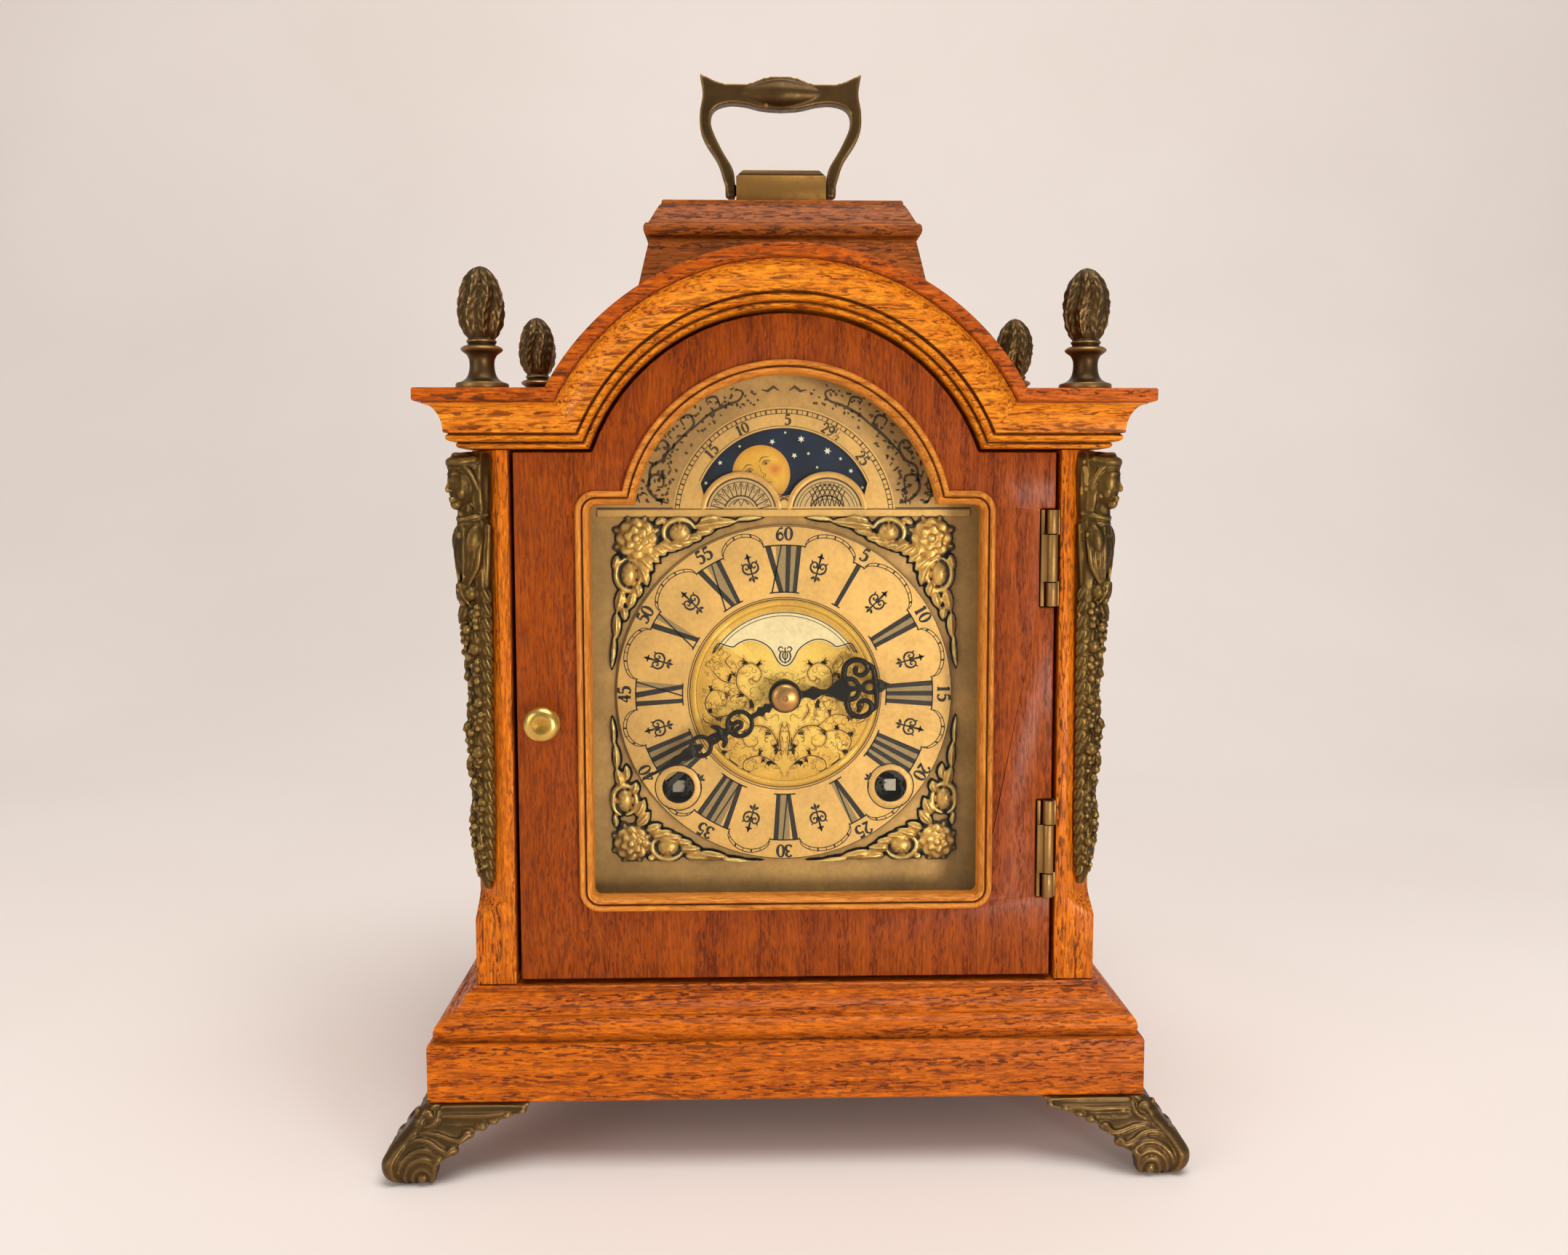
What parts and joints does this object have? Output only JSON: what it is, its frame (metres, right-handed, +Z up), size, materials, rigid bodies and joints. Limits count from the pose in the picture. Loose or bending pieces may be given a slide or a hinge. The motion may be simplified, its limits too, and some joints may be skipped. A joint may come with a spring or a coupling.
{
  "type": "bracket clock",
  "caption": "Arched-top wooden bracket clock with cast mounts, bail handle, opening doors, moon dial and a pendulum striking movement.",
  "frame": {"origin": "centre of the footprint, on the surface the clock stands on", "axes": "+X to the viewer's right, +Y to the back, +Z up"},
  "size_m": [0.236, 0.16, 0.3348],
  "materials": {
    "oak_case": "polished oak, orange-brown, open dark pores",
    "oak_cornice": "polished oak, golden orange, open dark pores",
    "oak_door": "polished oak, red-brown, open dark pores",
    "oak_bead": "polished light tan wood",
    "oak_caddy": "polished oak, deep brown",
    "oak_inside": "plain unpolished oak",
    "antique_bronze": "cast, dark antique patina, rubbed bright on the high spots",
    "polished_brass": "polished",
    "movement_brass": "brushed",
    "dial_plate": "matted greyish tan",
    "chapter_ring": "silvered champagne, fine brushed",
    "dial_gilt": "matt gilt, cast and chased",
    "dial_ink": "black wax filling of the engraving",
    "blued_steel": "blackened",
    "steel": "bright",
    "moon_paint": "painted night-blue sky",
    "moon_gold": "painted yellow",
    "glass": "clear, flat"
  },
  "bodies": {
    "case": {"plinth": "oak_case", "left_corner_post": "oak_case", "right_corner_post": "oak_case", "left_side_panel": "oak_case", "right_side_panel": "oak_case", "back_frame": "oak_case", "arch_cornice": "oak_cornice", "left_cornice": "oak_cornice", "right_cornice": "oak_cornice", "top_board": "oak_cornice", "caddy_top": "oak_caddy", "bottom_board": "oak_inside", "seat_board": "oak_inside", "front_left_finial": "antique_bronze", "front_right_finial": "antique_bronze", "rear_left_finial": "antique_bronze", "rear_right_finial": "antique_bronze", "front_left_foot": "antique_bronze", "front_right_foot": "antique_bronze", "rear_left_foot": "antique_bronze", "rear_right_foot": "antique_bronze", "left_corner_mount": "antique_bronze", "right_corner_mount": "antique_bronze", "handle_block": "polished_brass", "upper_hinge_case_leaf": "polished_brass", "lower_hinge_case_leaf": "polished_brass", "front_plate": "movement_brass", "back_plate": "movement_brass", "bell": "movement_brass", "dial_plate": "dial_plate", "chapter_ring": "chapter_ring", "dial_centre": "dial_gilt", "upper_left_spandrel": "dial_gilt", "upper_right_spandrel": "dial_gilt", "lower_left_spandrel": "dial_gilt", "lower_right_spandrel": "dial_gilt"},
    "front_door": {"door_frame": "oak_door", "door_bead": "oak_bead", "door_glass": "glass", "door_knob": "polished_brass", "upper_hinge_door_leaf": "polished_brass", "lower_hinge_door_leaf": "polished_brass"},
    "rear_door": {"back_door": "oak_door", "back_door_knob": "polished_brass"},
    "handle": {"carrying_handle": "antique_bronze"},
    "minute_arbor": {"centre_wheel": "movement_brass", "minute_hand": "blued_steel", "hand_nut": "polished_brass"},
    "hour_pipe": {"hour_wheel": "movement_brass", "hour_hand": "blued_steel"},
    "minute_wheel": {"minute_wheel": "movement_brass"},
    "third_arbor": {"third_wheel": "movement_brass"},
    "escape_arbor": {"escape_wheel": "movement_brass"},
    "time_barrel": {"time_barrel": "movement_brass"},
    "strike_barrel": {"strike_barrel": "movement_brass"},
    "time_winding_arbor": {"time_winding_arbor": "steel"},
    "strike_winding_arbor": {"strike_winding_arbor": "steel"},
    "moon_disc": {"moon_disc": "moon_paint"},
    "pendulum": {"pendulum": "movement_brass"},
    "strike_hammer": {"strike_hammer": "steel"}
  },
  "joints": [
    {"name": "front_door_hinge", "type": "hinge", "parent": "case", "child": "front_door", "pos_m": [0.0785, -0.0582, 0.1323], "axis": [0, 0, 1], "range_deg": [0, 110]},
    {"name": "rear_door_pins", "type": "hinge", "parent": "case", "child": "rear_door", "pos_m": [0.0565, 0.064, 0.1352], "axis": [0, 0, -1], "range_deg": [0, 90]},
    {"name": "handle_pivot", "type": "hinge", "parent": "case", "child": "handle", "pos_m": [0, 0, 0.298], "axis": [1, 0, 0], "range_deg": [-98, 98]},
    {"name": "minute_hand_turn", "type": "hinge", "parent": "case", "child": "minute_arbor", "pos_m": [0, 0, 0.1373], "axis": [0, 1, 0], "continuous": true},
    {"name": "hour_hand_turn", "type": "hinge", "parent": "case", "child": "hour_pipe", "pos_m": [0, 0, 0.1373], "axis": [0, 1, 0], "continuous": true},
    {"name": "minute_wheel_turn", "type": "hinge", "parent": "case", "child": "minute_wheel", "pos_m": [0.0144, 0, 0.1373], "axis": [0, 1, 0], "continuous": true},
    {"name": "third_arbor_turn", "type": "hinge", "parent": "case", "child": "third_arbor", "pos_m": [-0.0156, 0, 0.1571], "axis": [0, 1, 0], "continuous": true},
    {"name": "escape_arbor_turn", "type": "hinge", "parent": "case", "child": "escape_arbor", "pos_m": [0, 0, 0.1711], "axis": [0, 1, 0], "continuous": true},
    {"name": "time_barrel_turn", "type": "hinge", "parent": "case", "child": "time_barrel", "pos_m": [0.033, 0, 0.1082], "axis": [0, 1, 0], "continuous": true},
    {"name": "strike_barrel_turn", "type": "hinge", "parent": "case", "child": "strike_barrel", "pos_m": [-0.033, 0, 0.1082], "axis": [0, 1, 0], "continuous": true},
    {"name": "time_winding_turn", "type": "hinge", "parent": "case", "child": "time_winding_arbor", "pos_m": [0.033, 0, 0.1082], "axis": [0, 1, 0], "continuous": true},
    {"name": "strike_winding_turn", "type": "hinge", "parent": "case", "child": "strike_winding_arbor", "pos_m": [-0.033, 0, 0.1082], "axis": [0, 1, 0], "continuous": true},
    {"name": "moon_disc_turn", "type": "hinge", "parent": "case", "child": "moon_disc", "pos_m": [0, 0, 0.191], "axis": [0, 1, 0], "continuous": true},
    {"name": "pendulum_swing", "type": "hinge", "parent": "case", "child": "pendulum", "pos_m": [0, 0, 0.1841], "axis": [0, 1, 0], "range_deg": [-3, 3]},
    {"name": "hammer_swing", "type": "hinge", "parent": "case", "child": "strike_hammer", "pos_m": [0.04, 0, 0.18], "axis": [0, 1, 0], "range_deg": [0, 12]}
  ],
  "couplings": [
    {"joint": "hour_hand_turn", "follows": "minute_hand_turn", "ratio": 0.083333},
    {"joint": "minute_wheel_turn", "follows": "minute_hand_turn", "ratio": -0.33333},
    {"joint": "third_arbor_turn", "follows": "minute_hand_turn", "ratio": -13.333},
    {"joint": "escape_arbor_turn", "follows": "minute_hand_turn", "ratio": 177.78},
    {"joint": "time_barrel_turn", "follows": "minute_hand_turn", "ratio": -0.083333},
    {"joint": "moon_disc_turn", "follows": "minute_hand_turn", "ratio": 0.00070621}
  ]
}
